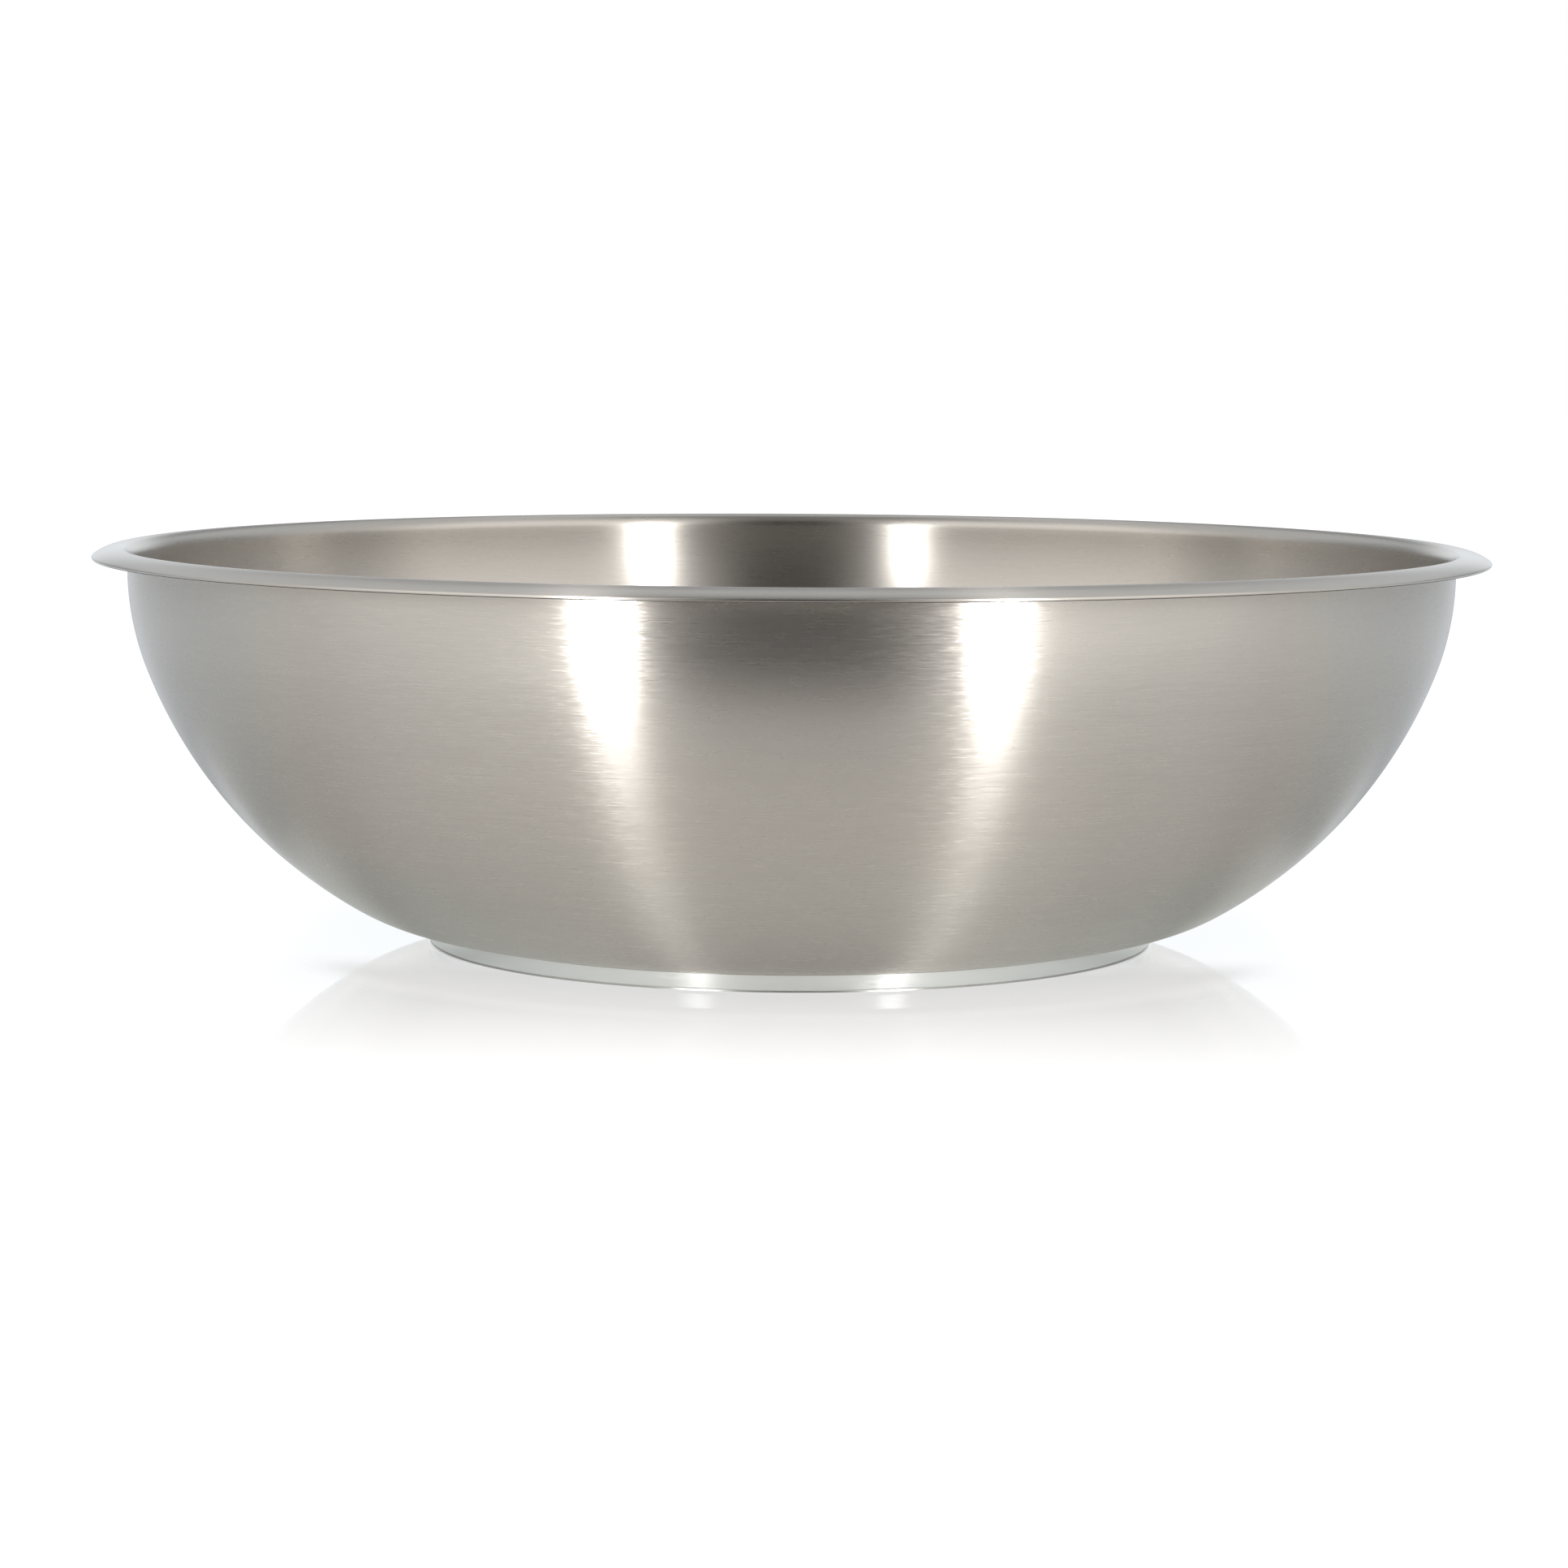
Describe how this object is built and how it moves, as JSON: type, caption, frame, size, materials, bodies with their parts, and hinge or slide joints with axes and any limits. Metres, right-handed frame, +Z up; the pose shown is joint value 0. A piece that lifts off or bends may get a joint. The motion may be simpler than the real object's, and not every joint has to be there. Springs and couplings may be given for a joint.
{
  "type": "mixing bowl",
  "caption": "Wide shallow stainless mixing bowl with an upright collar, an out-turned rounded lip and a flat bonded heat-spreading base.",
  "frame": {"origin": "on the bowl's axis, at the underside of the base plate that it stands on", "axes": "+Z up along the bowl's axis; the bowl is a body of revolution, so X and Y are any two level directions at right angles"},
  "size_m": [0.3599, 0.36, 0.1028],
  "materials": {
    "shell_steel": "satin stainless steel, brushed round the axis",
    "disc_aluminium": "turned aluminium",
    "plate_steel": "ferritic stainless steel, turned in fine rings"
  },
  "bodies": {
    "root": {"bowl_shell": "shell_steel", "heat_disc": "disc_aluminium", "base_plate": "plate_steel"}
  },
  "joints": []
}
